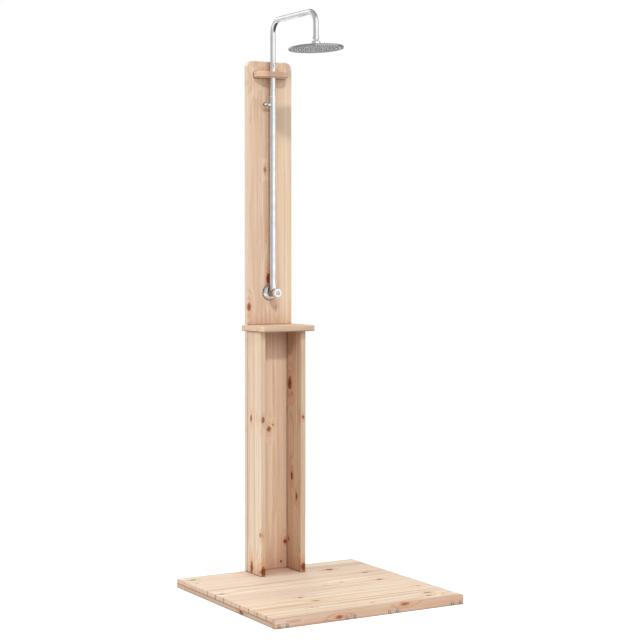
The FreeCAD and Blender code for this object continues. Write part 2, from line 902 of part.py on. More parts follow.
# ---------------------------------------------------------------- telescopic pipe


def riser_tube():
    """Outer pipe with the threaded boss for the clamp screw on its left."""
    top = riser_top - bush_lip
    length = top - riser_bottom
    base = Vector(0, pipe_y, riser_bottom)
    boss_start = Vector(-riser_inner_radius, pipe_y, clamp_height)
    boss_length = clamp_boss_reach - riser_inner_radius
    boss = taper(clamp_boss_tip_radius + clamp_boss_flare, clamp_boss_tip_radius, boss_start, LEFT,
                 boss_length)
    thread = rod(clamp_thread_radius + running_clearance, Vector(0, pipe_y, clamp_height), LEFT,
                 clamp_boss_reach)
    outside = rod(riser_radius, base, UP, length).fuse(boss)
    return outside.cut([rod(riser_inner_radius, base, UP, length), thread])


def riser_bush():
    """Plastic sleeve in the riser's mouth that the inner pipe slides in."""
    outer = riser_inner_radius - bush_fit
    inner = arm_radius + running_clearance
    sleeve = turned([
        (inner, -bush_length),
        (outer, -bush_length),
        (outer, 0),
        (riser_radius, 0),
        (riser_radius, bush_lip - bush_lip_edge),
        (riser_radius - bush_lip_edge, bush_lip),
        (inner, bush_lip),
    ], Vector(0, pipe_y, riser_top - bush_lip), UP)
    hole = rod(clamp_thread_radius + clamp_bush_clearance, Vector(0, pipe_y, clamp_height), LEFT,
               riser_radius)
    return sleeve.cut(hole)


def clamp_pieces():
    """Soft pad that grips the inner pipe, and the ball-headed screw that pushes it."""
    pad_start = arm_radius + clamp_pad_gap
    pad_end = pad_start + clamp_pad_length
    axis_point = Vector(0, pipe_y, clamp_height)
    pad = rod(clamp_thread_radius - running_clearance, axis_point + LEFT * pad_start, LEFT,
              clamp_pad_length)
    screw_start = pad_end + running_clearance
    screw = turned([
        (0, screw_start),
        (clamp_thread_radius, screw_start),
        (clamp_thread_radius, clamp_collar_start),
        (clamp_collar_radius, clamp_collar_start),
        (clamp_collar_radius, clamp_ball_reach - clamp_ball_neck),
        ((clamp_ball_radius, clamp_ball_reach), (0, clamp_ball_reach + clamp_ball_radius)),
    ], axis_point, LEFT)
    return {"clamp_pad": pad, "thumbscrew": screw}


def bent_bar(radius, bottom, drop_end):
    """Round bar up the riser's axis, forward over two bends and down to the rain head."""
    bend = arm_bend_radius
    bend_start = arm_height - bend
    back_straight = rod(radius, Vector(0, pipe_y, bottom), UP, bend_start - bottom)
    top_straight = rod(radius, Vector(0, pipe_y - bend, arm_height), FRONT, arm_reach - 2 * bend)
    drop_straight = rod(radius, Vector(0, head_y, drop_end), UP, bend_start - drop_end)
    back_disc = Part.Face(Part.Wire(Part.makeCircle(radius, Vector(0, pipe_y, bend_start), UP)))
    back_bend = back_disc.revolve(Vector(0, pipe_y - bend, bend_start), RIGHT, 90)
    front_disc = Part.Face(Part.Wire(Part.makeCircle(radius, Vector(0, head_y, bend_start), UP)))
    front_bend = front_disc.revolve(Vector(0, head_y + bend, bend_start), RIGHT, -90)
    return back_straight.fuse([back_bend, top_straight, front_bend, drop_straight]).removeSplitter()


def arm_tube():
    drop_end = ball_height + ball_collar_top - tube_seat_depth
    return bent_bar(arm_radius, arm_bottom, drop_end).cut(bent_bar(arm_inner_radius, arm_bottom, drop_end))


def arm_guide_pieces():
    """Sleeve on the arm's lower end that runs in the riser, with two seal rings in its grooves."""
    sleeve_bore = arm_radius + running_clearance
    outer = riser_inner_radius - running_clearance
    groove_radius = (sleeve_bore + outer) / 2
    base = arm_bottom - guide_lip
    groove_middles = [guide_length / 3, 2 * guide_length / 3]
    outline = [
        (arm_inner_radius, 0),
        (outer, 0),
    ]
    for middle in groove_middles:
        outline += [
            (outer, middle - oring_section / 2),
            (groove_radius, middle - oring_section / 2),
            (groove_radius, middle + oring_section / 2),
            (outer, middle + oring_section / 2),
        ]
    outline += [
        (outer, guide_length),
        (sleeve_bore, guide_length),
        (sleeve_bore, guide_lip - running_clearance),
        (arm_inner_radius, guide_lip - running_clearance),
    ]
    guide = turned(outline, Vector(0, pipe_y, base), UP)
    ring_height = oring_section - 2 * bush_fit
    rings = [pipe_ring(riser_inner_radius - bush_fit, groove_radius + bush_fit,
                       Vector(0, pipe_y, base + middle - ring_height / 2), UP, ring_height)
             for middle in groove_middles]
    return {"arm_guide": guide, "arm_orings": group(rings)}


def telescopic_pipe():
    pieces = {
        "riser_tube": riser_tube(),
        "riser_oring": oring(riser_radius + running_clearance / 2,
                             Vector(0, pipe_y, riser_oring_bottom()), UP),
        "riser_bush": riser_bush(),
        "arm_tube": arm_tube(),
    }
    pieces.update(clamp_pieces())
    pieces.update(arm_guide_pieces())
    return pieces


# ---------------------------------------------------------------- ball joint and rain head


def head_turned(outline):
    return turned(outline, ball_centre, UP)


def on_sphere(radius, height):
    """Point of a sphere around the ball's centre, in a turned outline."""
    return (math.sqrt(radius ** 2 - height ** 2), height)


def sphere_arc(radius, start_height, end_height):
    """Arc of a sphere between two heights, as an entry of a turned outline."""
    start = math.asin(start_height / radius)
    end = math.asin(end_height / radius)
    middle = (start + end) / 2
    return ((radius * math.cos(middle), radius * math.sin(middle)), on_sphere(radius, end_height))


def ball_fitting():
    """Collar on the arm's end, with the neck and the ball below it."""
    neck_joint = math.sqrt(ball_radius ** 2 - ball_neck_radius ** 2)
    bore_end = math.sqrt(ball_radius ** 2 - ball_bore_radius ** 2)
    seat = ball_collar_top - tube_seat_depth
    tube_bore = arm_radius + running_clearance
    return head_turned([
        (ball_bore_radius, -bore_end),
        sphere_arc(ball_radius, -bore_end, neck_joint),
        (ball_neck_radius, ball_collar_bottom),
        (ball_collar_radius - ball_collar_chamfer, ball_collar_bottom),
        (ball_collar_radius, ball_collar_bottom + ball_collar_chamfer),
        (ball_collar_radius, ball_collar_top - ball_collar_edge),
        (ball_collar_radius - ball_collar_edge, ball_collar_top),
        (tube_bore, ball_collar_top),
        (tube_bore, seat),
        (ball_bore_radius, seat),
    ])


def liner(low, high):
    """Zone of a thin ball shell between the ball and its socket."""
    inner = ball_radius + running_clearance
    outer = inner + liner_thickness
    return head_turned([
        on_sphere(inner, low),
        on_sphere(outer, low),
        sphere_arc(outer, low, high),
        on_sphere(inner, high),
        sphere_arc(inner, high, low),
    ])


def ball_nut():
    mouth = on_sphere(socket_radius, liner_top)
    thread = hub_thread_radius + running_clearance
    return head_turned([
        (thread, -nut_bottom),
        (nut_radius, -nut_bottom),
        (nut_radius, nut_top - nut_chamfer),
        (nut_radius - nut_shoulder, nut_top),
        (mouth[0] + nut_mouth_flare, nut_top),
        mouth,
        sphere_arc(socket_radius, liner_top, 0),
        (thread, 0),
    ])


def head_hub():
    """Threaded socket below the ball, brazed into the middle of the head's shell."""
    bottom = -socket_radius - hub_floor
    shoulder_radius = hub_thread_radius + hub_shoulder_step
    cup_end = -math.sqrt(socket_radius ** 2 - hub_bore_radius ** 2)
    return head_turned([
        (hub_bore_radius, bottom),
        (hub_spigot_radius, bottom),
        (hub_spigot_radius, -head_centre_drop),
        (shoulder_radius, -head_centre_drop),
        (shoulder_radius, hub_shoulder_top),
        (hub_thread_radius, hub_shoulder_top),
        (hub_thread_radius, -hub_rim_gap),
        on_sphere(socket_radius, -hub_rim_gap),
        sphere_arc(socket_radius, -hub_rim_gap, cup_end),
    ])


def head_shell():
    """Thin round shell, gently domed on top, with a turned-down rim."""
    rim = head_radius - head_rim_round
    hole = hub_spigot_radius + running_clearance
    corner = rounding(head_rim_round)
    middle_radius = (rim + hole) / 2
    middle_height = -(head_centre_drop + head_rim_top_drop) / 2 + head_dome_rise
    return head_turned([
        (head_inner_radius, -head_rim_bottom_drop),
        (head_radius, -head_rim_bottom_drop),
        (head_radius, -head_rim_top_drop - head_rim_round),
        ((head_radius - corner, -head_rim_top_drop - corner), (rim, -head_rim_top_drop)),
        ((middle_radius, middle_height), (hole, -head_centre_drop)),
        (hole, -head_centre_drop - head_wall),
        ((middle_radius, middle_height - head_wall), (rim, -head_rim_top_drop - head_wall)),
        (head_inner_radius, -head_rim_top_drop - head_rim_round),
    ])


def nozzle_places():
    """Distance along X and Y from the head's middle, ring by ring, six more in each ring."""
    places = []
    for ring in range(1, nozzle_ring_count + 1):
        count = 6 * ring
        for number in range(count):
            angle = 2 * math.pi * (number + 0.5 * (ring % 2)) / count
            reach = ring * nozzle_ring_pitch
            places.append(Vector(reach * math.cos(angle), reach * math.sin(angle), 0))
    return places


def nozzle(place):
    """Soft nozzle: flange on the plate's inside, neck in its hole, tip below."""
    return turned([
        (0, nozzle_plate_bottom - nozzle_reach),
        (nozzle_tip_radius, nozzle_plate_bottom - nozzle_reach),
        (nozzle_radius, nozzle_plate_bottom),
        (nozzle_radius, nozzle_plate_top),
        (nozzle_flange_radius, nozzle_plate_top),
        (nozzle_flange_radius, nozzle_plate_top + nozzle_flange_thickness),
        (0, nozzle_plate_top + nozzle_flange_thickness),
    ], ball_centre + place, UP)


def nozzle_plate():
    start = ball_centre + UP * nozzle_plate_bottom
    plate = rod(nozzle_plate_radius, start, UP, nozzle_plate_thickness)
    return plate.cut([rod(nozzle_radius + running_clearance, start + place, UP, nozzle_plate_thickness)
                      for place in nozzle_places()])


def tilted(shape):
    """Turns a piece of the head about the ball's centre to the small tilt it hangs at."""
    lean = math.hypot(head_tilt_front, head_tilt_side)
    copy = shape.copy()
    copy.rotate(ball_centre, Vector(-head_tilt_front, -head_tilt_side, 0), lean)
    return copy


def rain_head():
    head = {
        "ball_liner_lower": liner(-liner_bottom, -liner_split),
        "ball_liner_upper": liner(liner_split, liner_top),
        "ball_nut": ball_nut(),
        "head_hub": head_hub(),
        "head_shell": head_shell(),
        "head_gasket": pipe_ring(nozzle_plate_radius, nozzle_plate_radius - gasket_width,
                                 ball_centre + UP * nozzle_plate_top, UP, gasket_thickness),
        "nozzle_plate": nozzle_plate(),
        "nozzles": group([nozzle(place) for place in nozzle_places()]),
    }
    pieces = {name: tilted(shape) for name, shape in head.items()}
    pieces["ball_fitting"] = ball_fitting()
    return pieces


# ---------------------------------------------------------------- the whole object


def origin_shift():
    """Moves the middle of the whole depth, screw heads to inlet thread, over the origin."""
    front = -half_depth - fascia_screw_head_height
    back = board_front + inlet_end
    return Vector(0, -(front + back) / 2, 0)


def build():
    pieces = {}
    for make in (deck, column, valve, telescopic_pipe, rain_head):
        pieces.update(make())
    shift = origin_shift()
    return {name: shape.translated(shift) for name, shape in pieces.items()}


def main():
    os.makedirs("parts", exist_ok=True)
    for name, shape in build().items():
        shape.exportStep("parts/" + name + ".step")
        print(name, "solids", len(shape.Solids), "volume", round(shape.Volume), "valid", shape.isValid())


main()
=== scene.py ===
import bpy
import json
import math
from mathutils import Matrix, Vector


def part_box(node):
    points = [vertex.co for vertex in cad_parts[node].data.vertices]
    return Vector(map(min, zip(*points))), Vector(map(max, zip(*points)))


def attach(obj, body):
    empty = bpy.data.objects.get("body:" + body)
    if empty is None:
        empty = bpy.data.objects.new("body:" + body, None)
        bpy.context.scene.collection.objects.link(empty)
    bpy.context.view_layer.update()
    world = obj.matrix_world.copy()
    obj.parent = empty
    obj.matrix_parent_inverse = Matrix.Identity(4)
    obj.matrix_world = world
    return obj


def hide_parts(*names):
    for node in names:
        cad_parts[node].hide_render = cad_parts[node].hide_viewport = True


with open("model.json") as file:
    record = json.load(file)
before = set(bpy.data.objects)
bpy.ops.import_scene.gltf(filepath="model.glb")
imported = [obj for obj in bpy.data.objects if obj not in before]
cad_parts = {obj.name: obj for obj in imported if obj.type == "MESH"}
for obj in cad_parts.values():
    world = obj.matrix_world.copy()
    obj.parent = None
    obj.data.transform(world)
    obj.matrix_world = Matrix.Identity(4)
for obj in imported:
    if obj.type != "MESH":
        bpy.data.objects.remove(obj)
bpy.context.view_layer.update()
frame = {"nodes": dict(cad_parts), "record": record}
nodes = frame["nodes"]

# Outdoor shower post. Metres, +X to the right, +Y to the back, +Z up, in the part's own frame.

# ---------------------------------------------------------------- sizes and places

MM = 0.001

deck_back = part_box("rear_rail")[1].y
deck_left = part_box("rear_rail")[0].x
deck_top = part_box("deck_panel_rear")[1].z
fascia_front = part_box("front_fascia")[0].y
board_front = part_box("tall_board")[0].y
column_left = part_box("tall_board")[0].x
column_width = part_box("tall_board")[1].x - column_left
side_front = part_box("side_board_left")[0].y
side_depth = board_front - side_front
right_board_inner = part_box("side_board_right")[0].x
right_board_middle = (right_board_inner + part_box("side_board_right")[1].x) / 2
left_board_middle = -right_board_middle

board_middle_y = board_front + 9 * MM
deck_stave = 58.4 * MM
column_stave = column_width / 3
side_stave = side_depth / 2

# Camera, solved from the photograph's deck corners and board edges. Its horizon lies above the
# picture's middle, and that offset is shared between a lens shift and a downward pitch.
image_width = 640.0
image_height = 640.0
principal_x = 316.9
principal_y = 282.0
focal_pixels = 1611.7
camera_azimuth = math.radians(-30.096)
camera_pitch = math.radians(1.3165)
camera_distance = 5.3582
camera_height = 1.1705
sensor_width = 36.0

# ---------------------------------------------------------------- colours


def srgb(red, green, blue):
    """Linear colour from the 0 to 255 values that a screen shows."""
    def linear(value):
        share = value / 255
        return share / 12.92 if share <= 0.04045 else ((share + 0.055) / 1.055) ** 2.4
    return (linear(red), linear(green), linear(blue), 1.0)


pine_pale = srgb(234, 216, 192)
pine_warm = srgb(224, 196, 166)
pine_rosy = srgb(214, 176, 154)
pine_yellow = srgb(230, 202, 156)
pine_bleached = srgb(240, 226, 210)
latewood = srgb(190, 142, 106)
knot_halo = srgb(216, 146, 92)
knot_core = srgb(160, 78, 40)
knot_heart = srgb(92, 36, 20)
knot_bark = srgb(66, 34, 22)
# Dark glue joints between staves; the same colour draws the painted shadow lines along seams and edges
joint_and_shadow_line = srgb(112, 76, 54)
# Painted shade: a dark brown for narrow crevices and a redder brown that darkens the column's recess
crevice_shade_brown = srgb(84, 50, 36)
recess_shade_brown = srgb(184, 120, 98)
board_wash = srgb(224, 196, 172)
fascia_wash = srgb(200, 160, 130)
block_wash = srgb(216, 176, 146)

# ---------------------------------------------------------------- node building

crevice_samples = 6


class Graph:
    """Adds nodes to one node tree. Numbers and sockets mix freely in its sums."""

    def __init__(self, tree):
        self.tree = tree

    def node(self, kind, **settings):
        made = self.tree.nodes.new(kind)
        for name, value in settings.items():
            setattr(made, name, value)
        return made

    def feed(self, socket, value):
        if isinstance(value, bpy.types.NodeSocket):
            self.tree.links.new(value, socket)
        else:
            socket.default_value = value

    def calc(self, operation, *values, clamp=False):
        made = self.node("ShaderNodeMath", operation=operation, use_clamp=clamp)
        for socket, value in zip(made.inputs, values):
            self.feed(socket, value)
        return made.outputs[0]

    def add(self, first, second):
        return self.calc("ADD", first, second)

    def minus(self, first, second):
        return self.calc("SUBTRACT", first, second)

    def times(self, first, second):
        return self.calc("MULTIPLY", first, second)

    def vector(self, operation, *values):
        made = self.node("ShaderNodeVectorMath", operation=operation)
        for socket, value in zip(made.inputs, values):
            self.feed(socket, value)
        gives_number = operation in ("LENGTH", "DOT_PRODUCT")
        return made.outputs["Value" if gives_number else "Vector"]

    def combine(self, x, y, z):
        made = self.node("ShaderNodeCombineXYZ")
        for socket, value in zip(made.inputs, (x, y, z)):
            self.feed(socket, value)
        return made.outputs[0]

    def split(self, vector):
        made = self.node("ShaderNodeSeparateXYZ")
        self.feed(made.inputs[0], vector)
        return made.outputs[0], made.outputs[1], made.outputs[2]

    def noise(self, vector, scale=1.0, detail=2.0, roughness=0.5):
        made = self.node("ShaderNodeTexNoise")
        self.feed(made.inputs["Vector"], vector)
        made.inputs["Scale"].default_value = scale
        made.inputs["Detail"].default_value = detail
        made.inputs["Roughness"].default_value = roughness
        return made.outputs["Fac"]

    def random(self, number):
        """Three random numbers, the same ones each time for the same number."""
        made = self.node("ShaderNodeTexWhiteNoise", noise_dimensions="1D")
        self.feed(made.inputs["W"], number)
        return self.split(made.outputs["Color"])

    def smooth(self, value, low, high, out_low=0.0, out_high=1.0):
        """Eases from out_low to out_high while the value goes from low to high."""
        made = self.node("ShaderNodeMapRange", interpolation_type="SMOOTHSTEP")
        for socket, number in zip(made.inputs, (value, low, high, out_low, out_high)):
            self.feed(socket, number)
        return made.outputs[0]

    def mix(self, share, first, second, blend="MIX"):
        made = self.node("ShaderNodeMix", data_type="RGBA", blend_type=blend)
        self.feed(made.inputs["Factor"], share)
        self.feed(made.inputs[6], first)
        self.feed(made.inputs[7], second)
        return made.outputs[2]

    def crevice(self, reach, clear=0.92, full=0.5):
        """Eases from 0 in the open to 1 in an inner corner or against a neighbour within reach.

        clear and full are the open shares of the half sphere over the surface where that happens.
        """
        made = self.node("ShaderNodeAmbientOcclusion", samples=crevice_samples)
        made.inputs["Distance"].default_value = reach
        return self.smooth(made.outputs["AO"], clear, full)

    def bump(self, height, strength, distance):
        made = self.node("ShaderNodeBump")
        made.inputs["Strength"].default_value = strength
        made.inputs["Distance"].default_value = distance
        self.feed(made.inputs["Height"], height)
        return made.outputs["Normal"]


def new_material(name):
    """Material with one Principled shader, its graph and the object's own coordinates."""
    material = bpy.data.materials.new(name)
    material.use_nodes = True
    graph = Graph(material.node_tree)
    shader = material.node_tree.nodes["Principled BSDF"]
    place = graph.node("ShaderNodeTexCoord")
    return material, graph, shader, place


# ---------------------------------------------------------------- pine


def knot_group():
    """One knot: how much of a point is core and halo, and how far the rings swell round it.

    Distances are shares of the knot's radius. Each rim says where a layer starts and where it is full.
    """
    edge_scale = 160.0
    edge_raggedness = 0.7
    core_rim = (1.15, 0.7)
    heart_rim = (0.85, 0.2)
    bark_inner = (0.62, 0.9)
    bark_outer = (1.25, 1.0)
    bark_break_scale = 95.0
    bark_break_levels = (0.44, 0.6)
    halo_rim = (2.1, 0.6)
    halo_stretch = (0.5, 1.0, 1.0)
    swell_fading = -0.28

    tree = bpy.data.node_groups.new("knot", "ShaderNodeTree")
    for name, kind in (("Point", "NodeSocketVector"), ("Place", "NodeSocketVector"),
                       ("Squeeze", "NodeSocketVector"), ("Radius", "NodeSocketFloat")):
        tree.interface.new_socket(name, in_out="INPUT", socket_type=kind)
    for name in ("Core", "Heart", "Bark", "Halo", "Swell"):
        tree.interface.new_socket(name, in_out="OUTPUT", socket_type="NodeSocketFloat")
    graph = Graph(tree)
    given = graph.node("NodeGroupInput").outputs
    result = graph.node("NodeGroupOutput").inputs

    from_place = graph.vector("SUBTRACT", given["Point"], given["Place"])
    away = graph.vector("MULTIPLY", from_place, given["Squeeze"])
    ragged = graph.times(graph.minus(graph.noise(given["Point"], edge_scale), 0.5), edge_raggedness)
    near = graph.calc("DIVIDE", graph.vector("LENGTH", away), given["Radius"])
    near = graph.add(near, ragged)
    drawn_out = graph.vector("MULTIPLY", away, halo_stretch)
    wide = graph.calc("DIVIDE", graph.vector("LENGTH", drawn_out), given["Radius"])
    wide = graph.add(wide, ragged)

    graph.feed(result["Core"], graph.smooth(near, *core_rim))
    graph.feed(result["Heart"], graph.smooth(near, *heart_rim))
    ring = graph.times(graph.smooth(near, *bark_inner), graph.smooth(near, *bark_outer))
    broken = graph.smooth(graph.noise(given["Point"], bark_break_scale), *bark_break_levels)
    graph.feed(result["Bark"], graph.times(ring, broken))
    graph.feed(result["Halo"], graph.smooth(wide, *halo_rim))
    bell = graph.calc("EXPONENT", graph.times(graph.times(wide, wide), swell_fading))
    graph.feed(result["Swell"], graph.times(bell, given["Radius"]))
    return tree


knot_tree = knot_group()


def ordered(axes, point):
    """The point's coordinates in the order along, across, deep."""
    return [point["xyz".index(axis)] for axis in axes]


class Knot:
    """A knot at a place in the part's frame. Its axis runs into the board along one of x, y, z."""

    axis_scale = 0.35

    def __init__(self, x, y, z, radius, strength=1.0, into="z", stretch=1.5):
        self.place = (x, y, z)
        self.radius = radius * MM
        self.strength = strength
        self.into = into
        self.stretch = stretch

    def squeeze(self, axes):
        """Scale of each direction: drawn out along the grain, fading slowly along the knot's axis."""
        scale = {axis: 1.0 for axis in axes}
        scale[axes[0]] = 1 / self.stretch
        scale[self.into] = min(scale[self.into], self.axis_scale)
        return [scale[axis] for axis in axes]


# Growth rings: their width, how far the pith lies under the board's face and to the side, and how far
# the rings wander along the board and in small waves
ring_width = 3.4 * MM
pith_depth = 55 * MM
pith_least_share = 0.35
pith_sideways = 50 * MM
ring_drift = 50 * MM
drift_along = 1.1
drift_between_staves = 37.0
drift_scale = 1.3
ring_waviness = 4.2 * MM
late_rise = (0.35, 0.9)
late_fall = (1.0, 0.93)

# Noise drawn out along the grain: its scale along and across the grain, detail and roughness
streak_noise = (0.9, 62.0, 4.0, 0.62)
fibre_noise = (14.0, 900.0, 3.0, 0.6)
patch_noise = (2.2, 9.0, 2.0)
wave_noise = (5.0, 40.0, 3.0)
streak_between_staves = 50.0

# Noise levels between which a feature of the wood fades in
streak_levels = (0.34, 0.68)
patch_levels = (0.42, 0.72)
fibre_levels = (0.55, 0.8)

# How much a stave's tone adds to its warmth, around a middle tone, and to its rosy patches
tone_warmth = 1.2
tone_offset = 0.6
tone_rose = 0.9

# Shares of the darker colours: late wood and fibres, the layers of a knot, and end grain
late_least_share = 0.1
late_streak_share = 0.5
fibre_share = 0.12
halo_least_share = 0.45
halo_late_share = 0.4
heart_share = 0.75
bark_share = 0.8
end_grain_share = 0.22

# Coloured bands along the grain: colour, shift between staves, scale along and across the grain, the
# noise levels between which a band fades in, and its largest share
band_detail = 3.0
band_roughness = 0.6
grain_bands = (
    (pine_yellow, 23.0, 0.8, 44.0, 0.5, 0.66, 0.75),
    (pine_rosy, 71.0, 0.7, 85.0, 0.5, 0.68, 0.5),
    (pine_bleached, 47.0, 0.9, 120.0, 0.54, 0.66, 0.5),
)

# Cosines between which a face counts as turned towards an axis, and as turned away from it
facing_levels = (0.6, 0.9)
beside_levels = (0.8, 0.5)

# Glue joints between staves, on the faces and on the end grain, and the largest share of the painted
# shadow lines along seams and edges
joint_half_width = 0.9 * MM
joint_end_widening = 2.4 * MM
joint_core = 0.3 * MM
joint_face_share = 0.2
joint_open_levels = (0.15, 0.5)
seam_share = 0.85

# Shadow in the column's recess and in narrow crevices
recess_reach = 120 * MM
recess_limits = (0.72, 0.25)
recess_share = 0.56
crevice_reach = 6 * MM
crevice_share = 0.6

# Surface: roughness, how far fibres raise it and knots lower it, and the fine relief of the grain
pine_roughness = 0.5
fibre_roughness = 0.16
knot_smoothness = 0.12
fibre_relief = 0.6
late_relief = 0.4
relief_strength = 0.25
relief_height = 0.25 * MM
pine_specular = 0.35


class Grain:
    """A board's own coordinates, and noise that is drawn out along its grain."""

    def __init__(self, graph, place, axes):
        self.graph = graph
        self.point = graph.combine(*ordered(axes, graph.split(place.outputs["Object"])))
        self.along, self.across, self.deep = graph.split(self.point)

    def noise(self, along_scale, across_scale, detail, roughness=0.5, shift=0.0, layer=0.0):
        """shift moves the noise across the board, and layer moves it into the depth."""
        graph = self.graph
        across = graph.add(graph.times(self.across, across_scale), shift)
        deep = graph.add(graph.times(self.deep, across_scale), layer)
        stretched = graph.combine(graph.times(self.along, along_scale), across, deep)
        return graph.noise(stretched, 1.0, detail, roughness)


def stave_tone(graph, index, tones):
    """The number that a list gives for the stave with this index."""
    made = graph.node("ShaderNodeValToRGB")
    ramp = made.color_ramp
    ramp.interpolation = "CONSTANT"
    for number, tone in enumerate(tones):
        position = number / len(tones)
        stop = ramp.elements[0] if number == 0 else ramp.elements.new(position)
        stop.position = position
        stop.color = (tone, tone, tone, 1)
    while len(ramp.elements) > len(tones):
        ramp.elements.remove(ramp.elements[-1])
    graph.feed(made.inputs[0], graph.calc("DIVIDE", graph.add(index, 0.5), float(len(tones))))
    return made.outputs[0]


def knot_shares(graph, point, axes, knots):
    """The largest share of each layer of the knots at a point, and how far they swell the rings."""
    shares = {"Core": 0.0, "Heart": 0.0, "Bark": 0.0, "Halo": 0.0}
    swell = 0.0
    for knot in knots:
        one = graph.node("ShaderNodeGroup", node_tree=knot_tree)
        graph.feed(one.inputs["Point"], point)
        one.inputs["Place"].default_value = ordered(axes, knot.place)
        one.inputs["Squeeze"].default_value = knot.squeeze(axes)
        one.inputs["Radius"].default_value = knot.radius
        for name, so_far in shares.items():
            share = graph.times(one.outputs[name], knot.strength)
            shares[name] = graph.calc("MAXIMUM", share, so_far)
        swell = graph.add(one.outputs["Swell"], swell)
    return shares, swell


def late_wood(grain, centre, chances, swell, seed):
    """Share of dark late wood, in rings round a pith that lies below the board."""
    graph = grain.graph
    first, second, third = chances
    drift_place = graph.combine(graph.times(grain.along, drift_along),
                                graph.times(first, drift_between_staves), seed)
    drift = graph.times(graph.minus(graph.noise(drift_place, drift_scale, 2.0), 0.5), ring_drift)
    pith_side = graph.times(graph.minus(second, 0.5), pith_sideways)
    side = graph.minus(graph.minus(grain.across, centre), pith_side)
    side = graph.add(side, drift)
    below = graph.add(grain.deep, graph.times(graph.add(third, pith_least_share), pith_depth))
    radius = graph.calc("SQRT", graph.add(graph.times(side, side), graph.times(below, below)))
    wavy = graph.times(graph.minus(grain.noise(*wave_noise), 0.5), ring_waviness)
    radius = graph.add(graph.add(radius, wavy), swell)
    part = graph.calc("FRACT", graph.times(radius, 1 / ring_width))
    return graph.times(graph.smooth(part, *late_rise), graph.smooth(part, *late_fall))


